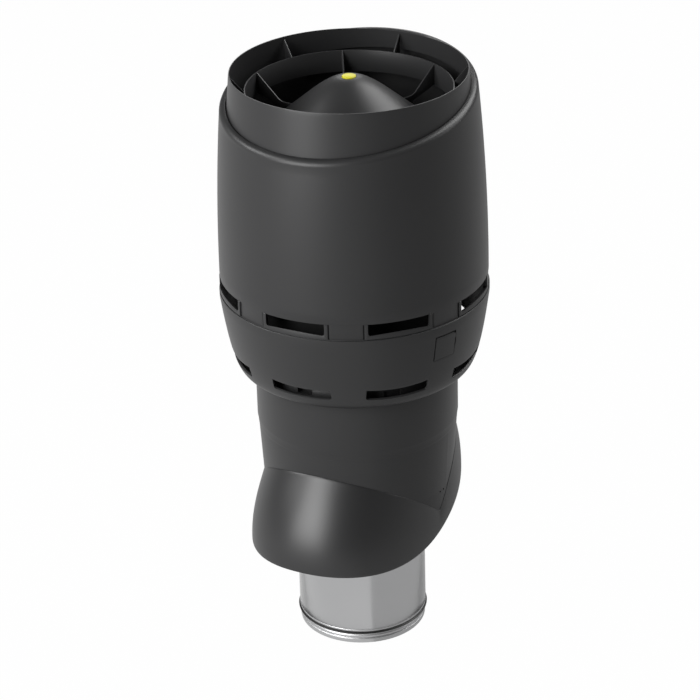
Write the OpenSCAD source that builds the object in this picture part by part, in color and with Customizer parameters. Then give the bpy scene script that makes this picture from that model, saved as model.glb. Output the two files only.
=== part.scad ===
// Roof exhaust fan on an insulated pipe, for a pitched roof.
// Z is the duct's axis, z = 0 is the lower end of the steel duct, and -Y points down the roof slope.

/* [Steel duct] */
// Outer radius of the steel duct
duct_r = 100; // [90:1:104]
// Sheet thickness of the steel duct
duct_wall = 0.9; // [0.6:0.1:1.5]
// Height of the rolled end of the duct, up to the seal's seat
duct_end_h = 15.5; // [13:0.5:18]
// How far the rolled end lies inside the duct's outer face
duct_end_in = 1.2; // [0.8:0.1:1.6]
// Height of the groove between the two rolls of the end
groove_z = 8.5; // [7:0.5:10]
// Height of the lip seal's middle above the duct's end
seal_z = 19; // [18:0.5:21]
// How far the seal's lip stands out of the duct
seal_lip = 2; // [1.5:0.1:3]

/* [Outer pipe] */
// Outer radius of the insulated pipe's plastic jacket at its lower end
pipe_r = 147.5; // [140:0.5:150]
// Outer radius of the jacket just below the neck sleeve
pipe_flare_r = 152.3; // [148:0.1:156]
// Height at which the jacket begins to widen
pipe_flare_z = 262; // [240:1:280]
// Wall of the plastic jacket
pipe_wall = 3; // [2:0.2:4]
// Height of the jacket's lower edge at its two sides
pipe_low = 205; // [180:1:215]
// Height of the jacket's upper end
pipe_top = 452; // [430:1:480]
// Fall of the lower edge towards the low side of the roof, per mm of run
edge_fall = 0.37; // [0.3:0.01:0.55]
// Sag of the lower edge, per mm of run squared
edge_sag = 0.0013; // [0.001:0.0001:0.0022]
// Radius of the fixing holes in the jacket
fixing_hole_r = 1.6; // [1:0.1:2.5]
// Height of the fixing holes
fixing_hole_z = 259; // [250:1:270]
// Angles at which they lie before the two sides
fixing_hole_turns = [3.4, 7.3]; // [1:0.1:9]
// How far the jacket comes in where it enters the neck sleeve
neck_draw = 2.3; // [1:0.1:3]

/* [Rain skirt] */
// Reach of the skirt's rim from the axis down the slope
skirt_front = 208.3; // [190:0.1:230]
// Reach of the rim to each side
skirt_side = 150.6; // [149:0.1:165]
// Reach of the rim up the slope
skirt_back = 172.5; // [160:0.5:180]
// Height of the skirt's crease at the front
crease_front = 322; // [300:1:335]
// Height of the skirt's crease at the back
crease_back = 352; // [345:1:355]
// Height of the crease at its lowest, near the sides
crease_side = 227; // [220:1:240]
// Angle from the front at which the crease is lowest
crease_turn = 81; // [70:1:90]
// Power of the crease's fall from the front to the sides
crease_fall_power = 1.9; // [1.5:0.1:2.5]
// Power of its climb to the back
crease_climb_power = 4.2; // [3:0.1:5]
// Wall of the skirt
skirt_wall = 3; // [2:0.2:4]

/* [Neck] */
// Wall of the neck sleeve
neck_wall = 3.9; // [3:0.1:6]
// How far the neck sleeve reaches down over the jacket
neck_overlap = 94; // [60:1:96]
// Height of the chamfer at the sleeve's lower edge
neck_chamfer = 7; // [3:0.5:10]

/* [Lower bowl] */
// Radius of the bowl's lower edge
bowl_low_r = 175.7; // [172:0.1:182]
// Largest radius of the bowl
bowl_r = 203.3; // [200:0.1:210]
// Height of the bowl, from its floor to the hood's edge
bowl_h = 148.5; // [140:0.5:160]
// Wall of the bowl
bowl_wall = 3.2; // [2.4:0.2:4]
// Height of the band round the top of the bowl
band_h = 23.9; // [20:0.5:28]
// Thickness of that band
band_wall = 6; // [5:0.2:7]
// Height and depth of the seam below that band
seam = 1.3; // [0.6:0.1:2]
// Number of air slots in each row
slots = 8; // [6:1:10]
// Angle that one upper slot covers
upper_slot_deg = 26; // [20:0.5:27]
// Height of an upper slot
upper_slot_h = 15.7; // [12:0.1:18]
// Angle that one lower slot covers
lower_slot_deg = 29.5; // [20:0.5:32]
// Height of a lower slot
lower_slot_h = 14.5; // [10:0.5:16]
// Corner radius of the slots
slot_round = 4; // [2:0.5:5]

/* [Latch] */
// Width of the latch button
latch_w = 41; // [34:0.5:46]
// Height of the latch button
latch_h = 40; // [34:0.5:44]
// Play between the button and its window
latch_play = 0.6; // [0.4:0.1:1]
// Travel of the button
latch_travel = 4; // [2:0.5:6]
// Side of the notch in the button's upper corner
latch_notch = 5; // [3:0.5:8]
// Radius of the button's stem
latch_stem_r = 5; // [4:0.5:6]

/* [Hood] */
// Height of the hood's curve from the bowl to its upper end
hood_h = 321; // [310:1:326]
// Wall of the hood
hood_wall = 3; // [2.4:0.2:4]
// How far the hood's foot lies inside the bowl's largest radius
foot_inset = 1.3; // [0.8:0.1:2]
// How far the hood's curve comes in from its foot to its upper end
hood_draw = 17.1; // [12:0.1:20]
// Height of the hood's slanted edge at the axis, above the bowl
hood_edge_h = 283; // [278:1:288]
// Tilt of the hood's upper edge
hood_tilt = 10.7; // [6:0.1:12]
// Angle that one snap tab covers
tab_deg = 14; // [10:0.5:15]
// Play behind and below a snap tab
tab_play = 0.3; // [0.2:0.1:0.6]
// Width of the groove at each side of a snap tab
tab_gap = 3; // [0.5:0.1:4]
// How far a snap tab lies behind the hood's face
tab_inset = 0.4; // [0:0.1:1]

/* [Outlet] */
// Height of the collar's rim above the bowl
rim_h = 314.7; // [312:0.5:325]
// How far the collar's rim lies inside the bowl's largest radius
rim_in = 28.2; // [27:0.1:31]
// Wall of the collar
collar_wall = 1.6; // [1.2:0.1:2.4]
// Growth of the collar's radius per mm downwards
collar_taper = 0.095; // [0.07:0.005:0.1]
// How far the collar reaches below the hood's edge
collar_tuck = 30; // [20:1:40]
// Height of the rounding at the rim
rim_round = 4.5; // [2:0.5:6]
// Drop from the hood's edge plane to the step inside the collar
collar_step_drop = 11; // [8:0.5:14]
// Distance between the outer faces of the rim and the diffuser ring
ring_in_by = 21.5; // [19:0.1:25]
// Height of the diffuser ring
ring_h = 34; // [25:1:45]
// Drop from the rim to the top of the diffuser ring
ring_drop = 26.6; // [20:0.1:30]
// Wall of the diffuser ring
ring_wall = 2; // [1.6:0.1:3]
// Number of ribs in each row
ribs = 6; // [4:1:8]
// Thickness of the ribs
rib_t = 2; // [1.6:0.1:3]

/* [Centre cone] */
// Radius of the cone's foot
cone_r = 101; // [98:0.5:106]
// Height of the cone
cone_h = 55; // [45:1:65]
// Drop from the rim to the cone's top
cone_drop = 11; // [8:0.5:20]
// Wall of the cone
cone_wall = 2.5; // [2:0.1:3.5]
// Depth of the cone's straight skirt
cone_skirt = 26; // [18:1:40]
// Radius of the plug in the cone's top
plug_r = 10.4; // [8:0.1:13]

/* [Fan housing] */
// Outer radius of the fan housing
housing_r = 153; // [150:0.5:156]
// Wall of the fan housing
housing_wall = 3; // [2:0.2:4]
// Height of the fan housing above its floor
housing_h = 314; // [290:1:330]
// Throat radius of the inlet nozzle
nozzle_r = 80; // [70:0.5:85]
// Height of the inlet nozzle
nozzle_h = 34; // [28:1:40]
// Number of guide vanes that carry the motor pod
vanes = 6; // [4:1:8]
// Height of a guide vane at the housing
vane_h = 70; // [50:1:80]
// How much higher a guide vane is at the motor pod
vane_rise = 20; // [0:1:30]

/* [Motor] */
// Outer radius of the external rotor
rotor_r = 60; // [50:0.5:64]
// Height of the rotor's cup
rotor_h = 50; // [44:1:54]
// Radius of the shaft
shaft_r = 6; // [4:0.5:8]
// Radius of the motor pod
pod_r = 98; // [94:0.5:100]
// Running play of the shaft in its bearings
shaft_play = 0.05; // [0.02:0.01:0.08]

/* [Impeller] */
// Outer radius of the impeller
impeller_r = 122; // [110:1:130]
// Width of the impeller at its outer edge
impeller_b = 52; // [40:1:56]
// Rise of the shroud from the impeller's eye to its outer edge
shroud_rise = 32; // [24:1:40]
// Number of blades
blades = 7; // [5:1:9]
// Sheet thickness of the impeller
impeller_t = 1.8; // [1.2:0.1:2.5]

/* [Hidden] */
$fn = 96;
// Margin by which a cutting tool passes through what it cuts
over = 2;
// Gap that parts which seat on each other keep
seat = 0.3;
// Steps in a free curve
steps = 10;
// Degrees between two slots, two ribs and two blades
slot_pitch = 360 / slots;
rib_pitch = 360 / ribs;
// Side of the slope that faces down
downhill = -90;

// Levels
neck_low = pipe_top - neck_overlap;
bowl_low = pipe_top + 4;
bowl_top = bowl_low + bowl_h;
band_low = bowl_top - band_h;
floor_z = bowl_low + 27;
rim_z = bowl_top + rim_h;
ring_top = rim_z - ring_drop;
ring_low = ring_top - ring_h;
cone_top = rim_z - cone_drop;
cone_low = cone_top - cone_h;
hood_edge_z = bowl_top + hood_edge_h;

// Radii of the head, which follow the bowl
hood_foot_r = bowl_r - foot_inset;
hood_top_r = hood_foot_r - hood_draw;
rim_r = bowl_r - rim_in;
ring_r = rim_r - ring_in_by;

// Neck and bowl collar
pipe_top_r = pipe_flare_r - neck_draw;
neck_in = pipe_top_r + seat;
neck_r = neck_in + neck_wall;
bead_r = neck_r + 5.5;
well_wall = 3;
well_r = bead_r + seat;

// Points of a curve with one bend, from p to q, pulled towards m
function bend(p, m, q, n = steps) =
    [for (i = [0:n]) let (t = i / n) (1 - t) * (1 - t) * p + 2 * t * (1 - t) * m + t * t * q];
function shifted(points, by) = [for (p = points) p + by];
function reversed(points) = [for (i = [len(points) - 1:-1:0]) points[i]];

// Sector of a ring, between two radii and two levels, centred on an azimuth
module sector(r_in, r_out, z_low, z_high, width, azimuth) {
    rotate([0, 0, azimuth - width / 2])
        rotate_extrude(angle = width)
            polygon([[r_in, z_low], [r_out, z_low], [r_out, z_high], [r_in, z_high]]);
}

// Outline of a window that is w wide and goes from 0 up to h, with its corners rounded
function window_outline(w, h, low_round, high_round) = concat(
    corner(-w / 2 + low_round, low_round, low_round, 180),
    corner(w / 2 - low_round, low_round, low_round, 270),
    corner(w / 2 - high_round, h - high_round, high_round, 0),
    corner(-w / 2 + high_round, h - high_round, high_round, 90)
);
function corner(x, y, r, first) = r > 0
    ? [for (a = [0:22.5:90]) [x + r * cos(first + a), y + r * sin(first + a)]]
    : [[x, y]];

// Straight cutter from one radius to another, for a window through a round wall
module window(r_in, r_out, z_low, w, h, azimuth, low_round = 0, high_round = 0) {
    rotate([0, 0, azimuth]) translate([r_in, 0, z_low]) rotate([90, 0, 90])
        linear_extrude(r_out - r_in) polygon(window_outline(w, h, low_round, high_round));
}

// Copies round the axis
module around(count, first = 0) {
    for (i = [0:count - 1]) rotate([0, 0, first + i * 360 / count]) children();
}

// Flat bar that stands on edge between two radii, with its outline in radius and height
module upright(outline, thickness) {
    rotate([90, 0, 0]) translate([0, 0, -thickness / 2]) linear_extrude(thickness) polygon(outline);
}

// Screw with a round head, pointing down, its head's underside at the origin
module screw(shank_r, shank_l, head_r, head_h) {
    translate([0, 0, -shank_l]) cylinder(r = shank_r, h = shank_l + head_h / 2, $fn = 32);
    difference() {
        cylinder(r = head_r, h = head_h, $fn = 32);
        translate([0, 0, head_h / 2]) cylinder(r = head_r / 2, h = head_h, $fn = 6);
    }
}

// Steel duct

seal_h = 6;
seal_base = 0.8;
seat_in = 1;
seat_low = duct_end_h + 0.6;
seat_top = seat_low + seal_h;
duct_top = floor_z - 13;
roll_depth = 1.3;

module steel_duct() {
    end_r = duct_r - duct_end_in;
    end_in = end_r - duct_wall - roll_depth;
    groove_r = end_r - 1;
    color("silver") rotate_extrude() polygon(concat(
        [[end_in, 0]], bend([end_in + duct_wall, 0], [end_r, 0], [end_r, groove_z - 5], 4),
        bend([end_r, groove_z - 2], [end_r, groove_z - 0.5], [groove_r, groove_z], 3),
        bend([groove_r, groove_z + 0.6], [end_r, groove_z + 1.2], [end_r, groove_z + 3], 3),
        [[end_r, duct_end_h], [duct_r - seat_in, seat_low], [duct_r - seat_in, seat_top]],
        [[duct_r, seat_top + seat_in], [duct_r, duct_top], [duct_r - duct_wall, duct_top]],
        [[duct_r - duct_wall, seat_top + 3], [end_in, seat_top]]
    ));
}

module duct_lip_seal() {
    seat_r = duct_r - seat_in;
    base_r = seat_r + seal_base;
    lip_end = duct_r + seal_lip;
    color("black") rotate_extrude() polygon([
        [seat_r, seat_low], [base_r, seat_low], [base_r, seal_z - 1.6], [lip_end, seal_z - 0.6],
        [lip_end, seal_z + 0.8], [base_r, seal_z + 1.6], [base_r, seat_top], [seat_r, seat_top]
    ]);
}

// Insulated pipe

// Height of the lower edge of the jacket and of the skirt, at a run down the slope
function edge_z(run) = pipe_low - edge_fall * run + edge_sag * run * run;

// Everything below the slanted lower edge, raised by a lift
module below_edge(lift = 0) {
    reach = skirt_front + over;
    floor_low = -duct_top;
    runs = [for (i = [0:steps * 2]) -reach + 2 * reach * i / (steps * 2)];
    edge = [for (run = runs) [run, edge_z(run) + lift]];
    rotate([90, 0, -90]) translate([0, 0, -reach]) linear_extrude(2 * reach)
        polygon(concat(edge, [[reach, floor_low], [-reach, floor_low]]));
}

flare_top = neck_low - 4;

// Side of the jacket at a depth below its outer surface, from its lower end to a level
function jacket_side(depth, top) = [
    [pipe_r - depth, 0], [pipe_r - depth, pipe_flare_z], [pipe_flare_r - depth, flare_top],
    [pipe_top_r - depth, neck_low - seat], [pipe_top_r - depth, top]
];
// Outer radius of the jacket at a height below the sleeve
function jacket_at(z) = pipe_r
    + (pipe_flare_r - pipe_r) * min(1, max(0, (z - pipe_flare_z) / (flare_top - pipe_flare_z)));

collar_wall_in = 3;
gasket_t = 1.8;
duct_collar_in = duct_r + gasket_t + 0.2;
duct_collar_out = duct_collar_in + collar_wall_in;
duct_collar_low = duct_top - 14;
edge_recess = 14;

module insulation() {
    color("lightyellow") difference() {
        rotate_extrude() polygon(concat(
            [[duct_r + seat, 0]], jacket_side(pipe_wall + seat, floor_z - over),
            [[duct_collar_out + seat, floor_z - over], [duct_collar_out + seat, duct_collar_low - seat],
             [duct_r + seat, duct_collar_low - seat]]
        ));
        below_edge(edge_recess);
    }
}

module fixing_holes() {
    for (side = [-1, 1]) for (turn = fixing_hole_turns)
        rotate([0, 0, downhill + side * (90 - turn)])
            translate([pipe_r - pipe_wall - over, 0, fixing_hole_z]) rotate([0, 90, 0])
                cylinder(r = fixing_hole_r, h = pipe_wall + 2 * over, $fn = 32);
}

module outer_pipe() {
    color("dimgray") difference() {
        rotate_extrude() polygon(concat(
            jacket_side(0, pipe_top), reversed(jacket_side(pipe_wall, pipe_top))
        ));
        below_edge();
        fixing_holes();
    }
}

// Rain skirt: a lobe over the roof sleeve in front and a flare behind, feathered out at the sides

feather = 0.6;
skirt_cols = 64;
skirt_rows = 10;
rim_power = 2.22;

// Radius of the rim at an angle from the front, as a rounded-off ellipse of its own on each side
function rim_out(angle) = let (
        along = abs(cos(angle)) / (cos(angle) > 0 ? skirt_front : skirt_back),
        across = abs(sin(angle)) / skirt_side
    ) pow(pow(along, rim_power) + pow(across, rim_power), -1 / rim_power);
// Height of the crease, which falls from the front to the sides and climbs to the back
function crease_z(angle) = angle < crease_turn
    ? crease_front - (crease_front - crease_side) * pow(angle / crease_turn, crease_fall_power)
    : let (back = pow((angle - crease_turn) / (180 - crease_turn), 1.2))
        crease_back - (crease_back - crease_side) * pow(1 - back, crease_climb_power);
// Outer surface: share of the way from the crease to the rim, in radius and in height
function bulge_r(s) = pow(sin(90 * s), 1.144);
function bulge_z(s) = pow(s, 1.107);

// Outer points from the crease to the rim, then inner points back up, all as radius and height
function skirt_section(angle) = let (
        rim = rim_out(angle),
        low = edge_z(rim * cos(angle)),
        high = crease_z(abs(angle)),
        top_r = jacket_at(high) + seat + feather,
        outer = [for (j = [0:skirt_rows - 1]) let (s = j / (skirt_rows - 1))
            [top_r + (rim - top_r) * bulge_r(s), high - (high - low) * bulge_z(s)]]
    ) concat(outer, [for (j = [skirt_rows - 1:-1:0]) let (drop = j == skirt_rows - 1 ? 0 : feather)
        [max(jacket_at(outer[j][1]) + seat, outer[j][0] - skirt_wall), outer[j][1] - drop]]);

// Lofted from section to section all round the pipe
module rain_skirt() {
    n = 2 * skirt_rows;
    points = [for (i = [0:skirt_cols - 1]) let (angle = -180 + (i + 0.5) * 360 / skirt_cols)
        for (p = skirt_section(angle)) [p[0] * sin(angle), -p[0] * cos(angle), p[1]]];
    faces = [for (i = [0:skirt_cols - 1]) for (j = [0:n - 1])
        let (a = i * n + j, b = i * n + (j + 1) % n, step = (i + 1) % skirt_cols * n - i * n)
            each [[a, b, b + step], [a, b + step, a + step]]];
    color("dimgray") polyhedron(points, faces, convexity = 6);
}

// Neck sleeve, which joins the head to the jacket

lug_screw_l = 14;

module neck_sleeve() {
    color("dimgray") difference() {
        rotate_extrude() polygon([
            [neck_in, neck_low], [neck_r - 2, neck_low], [neck_r, neck_low + neck_chamfer],
            [neck_r, bowl_low], [bead_r, bowl_low + 4], [bead_r, floor_z], [neck_in, floor_z]
        ]);
        lug_holes(0.05, floor_z + housing_floor - lug_screw_l - 1);
    }
}

module duct_gasket() {
    low = duct_collar_low + 4;
    color("black") rotate_extrude() polygon([
        [duct_r, low], [duct_r + gasket_t, low], [duct_r + gasket_t, low + 6], [duct_r, low + 6]
    ]);
}

// Lower bowl

bowl_floor = 3.5;
bowl_draw = bowl_r - bowl_low_r;
bowl_pull = [bowl_low_r + bowl_draw / 2, bowl_low + bowl_h * 0.06];
bowl_shoulder = [bowl_r, band_low - 10];
bowl_outer = bend([bowl_low_r, bowl_low], bowl_pull, bowl_shoulder);
bowl_inner = bend([bowl_low_r - bowl_wall, bowl_low + bowl_floor],
    bowl_pull - [bowl_wall, 0], bowl_shoulder - [bowl_wall, 0]);
band_r = bowl_r - 0.8;
band_in = band_r - band_wall;
latch_depth = 23;
latch_at = downhill + 1.5 * slot_pitch;
latch_low = band_low - 18 - latch_h;
slot_low_z = bowl_low + 15.5;
lower_slot_r = bowl_r - 17;

module latch_block(extra, r_in, r_out) {
    rotate([0, 0, latch_at]) translate([r_in, -latch_w / 2 - extra, latch_low - extra])
        cube([r_out - r_in, latch_w + 2 * extra, latch_h + 2 * extra]);
}

module bowl_shell() {
    rotate_extrude() polygon(concat(
        bowl_outer,
        [[bowl_r, band_low - seam], [band_r - seam, band_low - seam], [band_r - seam, band_low],
         [band_r, band_low], [band_r, bowl_top], [band_in, bowl_top],
         [band_in, band_low - over]],
        reversed(bowl_inner),
        [[well_r + well_wall, bowl_low + bowl_floor], [well_r + well_wall, floor_z - seat],
         [well_r, floor_z - seat], [well_r, bowl_low + 4], [neck_r + seat, bowl_low]]
    ));
}

drain_w = 9;
drain_h = 10;

module lower_bowl() {
    color("dimgray") difference() {
        bowl_shell();
        for (i = [0:slots - 1]) {
            middle = downhill + i * slot_pitch;
            window(band_in * cos(upper_slot_deg / 2) - over, bowl_r + over, bowl_top - upper_slot_h,
                2 * band_r * sin(upper_slot_deg / 2), upper_slot_h + over, middle, slot_round, 0);
            window(well_r + well_wall + over, bowl_r + over, slot_low_z,
                2 * lower_slot_r * sin(lower_slot_deg / 2), lower_slot_h, middle, slot_round / 2, 0);
            sector(well_r - over, well_r + well_wall + over, bowl_low + 7, bowl_low + 7 + drain_h,
                drain_w, middle);
            sector(hood_foot_r - hood_wall - tab_play, bowl_r + over, band_low, bowl_top + over,
                tab_deg + 2 * tab_gap / bowl_r * 180 / PI, middle + slot_pitch / 2);
        }
        latch_block(latch_play, bowl_r - latch_depth, bowl_r + over);
    }
}

// Latch that frees the hood

bracket_r = bowl_r - latch_depth - latch_travel;
bracket_t = 3;
bracket_h = 24;
latch_mid = latch_low + latch_h / 2;

module latch_bracket() {
    half = latch_w / 2 + latch_play + 2;
    color("dimgray") intersection() {
        rotate_extrude() polygon(concat([[0, bowl_low]], [[bowl_low_r - bowl_wall, bowl_low]],
            shifted(bowl_inner, [-seat / 2, 0]), [[0, bowl_shoulder[1]]]));
        rotate([0, 0, latch_at]) translate([0, 0, latch_mid - bracket_h / 2]) difference() {
            translate([bracket_r, -half - bracket_t, 0])
                cube([bowl_r - bracket_r, 2 * half + 2 * bracket_t, bracket_h]);
            translate([bracket_r + bracket_t, -half, -over])
                cube([bowl_r, 2 * half, bracket_h + 2 * over]);
            translate([bracket_r - over, 0, bracket_h / 2]) rotate([0, 90, 0])
                cylinder(r = latch_stem_r + 0.1, h = bracket_t + 2 * over);
        }
    }
}

module latch_button() {
    head_h = 3;
    color("dimgray") {
        intersection() {
            bowl_shell();
            difference() {
                latch_block(0, bowl_r - latch_depth, bowl_r + over);
                rotate([0, 0, latch_at])
                    translate([0, latch_w / 2 - latch_notch, latch_low + latch_h - latch_notch])
                        cube([2 * bowl_r, latch_notch + over, latch_notch + over]);
            }
        }
        rotate([0, 0, latch_at]) translate([bracket_r - seat - head_h, 0, latch_mid]) rotate([0, 90, 0]) {
            cylinder(r = latch_stem_r, h = bowl_r - bowl_wall - bracket_r);
            cylinder(r = latch_stem_r + 3, h = head_h);
        }
    }
}

// Hood

hood_foot = [hood_foot_r, bowl_top];
hood_crown = [hood_top_r, bowl_top + hood_h];
hood_curve = bend(hood_foot, [hood_foot_r, bowl_top + hood_h / 2], hood_crown, 14);
// Radius of the hood at a height
function hood_at(z) = hood_foot_r - hood_draw * pow((z - bowl_top) / hood_h, 2);

// Slanted upper edge: its reach down and up the slope, and the rounding of its corner
lip_t = 5;
lip_round = 9;
lip_rise = hood_top_r * tan(hood_tilt);
reach_down = hood_at(hood_edge_z - lip_rise) / cos(hood_tilt);
reach_up = hood_at(hood_edge_z + lip_rise) / cos(hood_tilt);
lip_fade = 2;
lip_r = (reach_down + reach_up + lip_fade) / 2;
lip_shift = lip_r - reach_down;

// Radius of the collar's outer surface at a height
function collar_at(z) = rim_r + collar_taper * (rim_z - z);

// Puts its children in the slanted plane of the hood's upper edge
module on_edge(drop = 0) {
    translate([0, 0, hood_edge_z - drop]) rotate([hood_tilt, 0, 0]) children();
}

module edge_slab() {
    translate([-2 * bowl_r, -2 * bowl_r, 0]) cube([4 * bowl_r, 4 * bowl_r, bowl_r]);
}

module collar_body(grow) {
    low = bowl_top + hood_h / 2;
    rotate_extrude() polygon([
        [0, low], [collar_at(low) + grow, low], [rim_r + grow, rim_z], [rim_r + grow, rim_z + over],
        [0, rim_z + over]
    ]);
}

module hood_shell() {
    tab_low = band_low + tab_play;
    color("dimgray") difference() {
        union() {
            rotate_extrude() polygon(concat(
                [[hood_foot_r - tab_inset, tab_low], [hood_foot_r - tab_inset, bowl_top]], hood_curve,
                reversed(shifted(hood_curve, [-hood_wall, 0])), [[hood_foot_r - hood_wall, tab_low]]
            ));
            intersection() {
                rotate_extrude() polygon(concat([[0, bowl_top]], hood_curve, [[0, hood_crown[1]]]));
                on_edge(lip_t) edge_slab();
            }
        }
        above_lip();
        collar_body(seat);
        for (i = [0:slots - 1])
            sector(hood_foot[0] - hood_wall - over, hood_foot[0] + over, tab_low - over, bowl_top,
                slot_pitch - tab_deg, downhill + i * slot_pitch);
    }
}

// Everything above the slanted edge, with the edge's outer corner rounded
module above_lip() {
    on_edge() translate([0, lip_shift, 0]) rotate_extrude() polygon(concat(
        [[0, hood_h], [0, 0]],
        [for (a = [90:-15:0]) [lip_r - lip_round * (1 - cos(a)), lip_round * (sin(a) - 1)]],
        [[2 * bowl_r, -lip_round], [2 * bowl_r, hood_h]]
    ));
}

// Outlet

collar_step = 0.8;

module outlet_collar() {
    low = bowl_top + hood_h / 2;
    inside = collar_at(low) - collar_wall;
    round_low = rim_z - rim_round;
    color("dimgray") difference() {
        rotate_extrude() polygon(concat(
            [[inside - collar_step, low], [collar_at(low), low]],
            bend([collar_at(round_low), round_low], [rim_r, rim_z - 1], [rim_r - 1, rim_z], 4),
            [[rim_r - collar_wall, rim_z], [rim_r - collar_wall - collar_step, rim_z - over]]
        ));
        on_edge(collar_tuck) mirror([0, 0, 1]) edge_slab();
        intersection() {
            on_edge(collar_step_drop) edge_slab();
            rotate_extrude() polygon([[0, low], [inside, low], [rim_r - collar_wall, rim_z], [0, rim_z]]);
        }
    }
}

collar_in = rim_r - collar_wall - collar_step;
ring_in = ring_r - ring_wall;

module outer_ribs() {
    top_z = rim_z - 4;
    low_z = ring_low + 8;
    color("dimgray") around(ribs, downhill)
        upright([[ring_r, low_z], [collar_in, low_z], [collar_in, top_z], [ring_r, ring_top]], rib_t);
}

module diffuser_ring() {
    color("dimgray") rotate_extrude() polygon([
        [ring_in, ring_low], [ring_r, ring_low], [ring_r, ring_top], [ring_in, ring_top]
    ]);
}

module inner_ribs() {
    hub = cone_r + seat;
    knee = [hub + 13, cone_low + 5];
    color("dimgray") around(ribs, downhill + rib_pitch / 2)
        upright(concat(
            [[hub, cone_low - cone_skirt + 12], [ring_in, ring_low + 2], [ring_in, ring_top]],
            bend(knee, [hub + 9, cone_low + 1], [hub, cone_low], 5)
        ), rib_t);
}

// Centre cone, its plug and its fixing

cone_foot = [cone_r, cone_low];
cone_curve = concat(
    bend([plug_r + 1, cone_top], [38, cone_top - 3], [66, cone_low + 24], 7),
    bend([66, cone_low + 24], [88, cone_low + 5], cone_foot, 5)
);
recess = 4;
hub_r = plug_r + 2.5;
screw_r = 3;

module centre_cone() {
    under = [for (i = [len(cone_curve) - 1:-1:1]) cone_curve[i] - [0, cone_wall + 1]];
    skirt_low = cone_low - cone_skirt;
    color("dimgray") rotate_extrude() polygon(concat(
        [[screw_r + seat, cone_top - recess], [plug_r + 0.3, cone_top - recess], [plug_r + 0.3, cone_top]],
        cone_curve,
        [[cone_r, skirt_low], [cone_r - cone_wall, skirt_low]],
        [[cone_r - cone_wall, cone_low - cone_wall - 1]],
        [for (i = [1:len(under) - 1]) if (under[i][0] > hub_r + 1) under[i]],
        [[hub_r, cone_top - recess - 6], [screw_r + seat, cone_top - recess - 6]]
    ));
}

module cone_plug() {
    color("yellow") rotate_extrude() polygon(concat(
        [[0, cone_top - 0.8], [plug_r - 1.5, cone_top - 0.8], [plug_r - 1.5, cone_top - recess],
         [plug_r, cone_top - recess], [plug_r, cone_top + 1]],
        bend([plug_r - 0.6, cone_top + 1.8], [plug_r / 2, cone_top + 2.6], [0, cone_top + 2.8], 4)
    ));
}

module cone_screw() {
    color("silver") translate([0, 0, cone_top - recess])
        screw(screw_r, 20, plug_r - 3, recess - 1.2);
}

post_r = 7;

module cone_post() {
    color("silver") difference() {
        translate([0, 0, pod_floor + pod_wall])
            cylinder(r = post_r, h = cone_top - recess - 6 - pod_floor - pod_wall);
        translate([0, 0, cone_top - recess - 24]) cylinder(r = screw_r, h = 30);
    }
}

// Fan housing with its inlet

housing_in = housing_r - housing_wall;
housing_floor = 3;
housing_top = floor_z + housing_h;
lug_screw_r = 1.7;
lug_pcd_r = (housing_r + bead_r) / 2;

module fan_housing() {
    color("dimgray") difference() {
        rotate_extrude() polygon([
            [duct_collar_in, duct_collar_low], [duct_collar_out, duct_collar_low],
            [duct_collar_out, floor_z], [bead_r, floor_z], [bead_r, floor_z + housing_floor],
            [housing_r, floor_z + housing_floor], [housing_r, housing_top], [housing_in, housing_top],
            [housing_in, floor_z + housing_floor], [duct_collar_in, floor_z + housing_floor]
        ]);
        lug_holes(0.2, floor_z - over);
    }
}

// Holes for the screws that hold the housing's flange down on the sleeve
module lug_holes(play, low) {
    around(slots, downhill + slot_pitch / 2) translate([lug_pcd_r, 0, low])
        cylinder(r = lug_screw_r + play, h = floor_z + housing_floor + over - low, $fn = 32);
}

module housing_screws() {
    color("silver") around(slots, downhill + slot_pitch / 2)
        translate([lug_pcd_r, 0, floor_z + housing_floor]) screw(lug_screw_r, lug_screw_l, 2.9, 2);
}

nozzle_flange = 14;
nozzle_t = 1.6;
nozzle_base = floor_z + housing_floor;
eye_z = nozzle_base + nozzle_h;

module inlet_nozzle() {
    mouth = duct_collar_in - 1;
    inside = bend([mouth, nozzle_base], [nozzle_r, nozzle_base + 4], [nozzle_r, eye_z], 8);
    color("silver") rotate_extrude() polygon(concat(
        inside,
        reversed(shifted([for (i = [1:8]) inside[i]], [nozzle_t, 0])),
        [[mouth + 3, nozzle_base + nozzle_t], [mouth + nozzle_flange, nozzle_base + nozzle_t],
         [mouth + nozzle_flange, nozzle_base]]
    ));
}

// Motor pod on its guide vanes

pod_wall = 3;
wheel_low = eye_z - 8;
plate_z = wheel_low + shroud_rise + impeller_b;
flange_z = plate_z + 6;
mount_z = flange_z + 5;
mount_h = 5;
pod_floor = mount_z + mount_h;
pod_top = cone_low - 6;
mount_pcd_r = 42;
mount_hole_r = 2.6;

module guide_vanes() {
    low = pod_floor + 20;
    color("dimgray") around(vanes, downhill)
        upright([[pod_r + 0.1, low], [housing_in - 0.1, low], [housing_in - 0.1, low + vane_h],
            [pod_r + 0.1, low + vane_h + vane_rise]], 2.4);
}

lead_at = [0, mount_pcd_r + 2];
lead_r = 3.5;

module motor_pod() {
    color("dimgray") difference() {
        rotate_extrude() polygon([
            [0, pod_floor], [pod_r, pod_floor], [pod_r, pod_top], [pod_r - pod_wall, pod_top],
            [pod_r - pod_wall, pod_floor + pod_wall], [0, pod_floor + pod_wall]
        ]);
        around(4, 45) translate([mount_pcd_r, 0, pod_floor - over])
            cylinder(r = mount_hole_r, h = pod_wall + 2 * over);
        translate([lead_at[0], lead_at[1], pod_floor - over])
            cylinder(r = lead_r + 2, h = pod_wall + 2 * over);
    }
}

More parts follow.
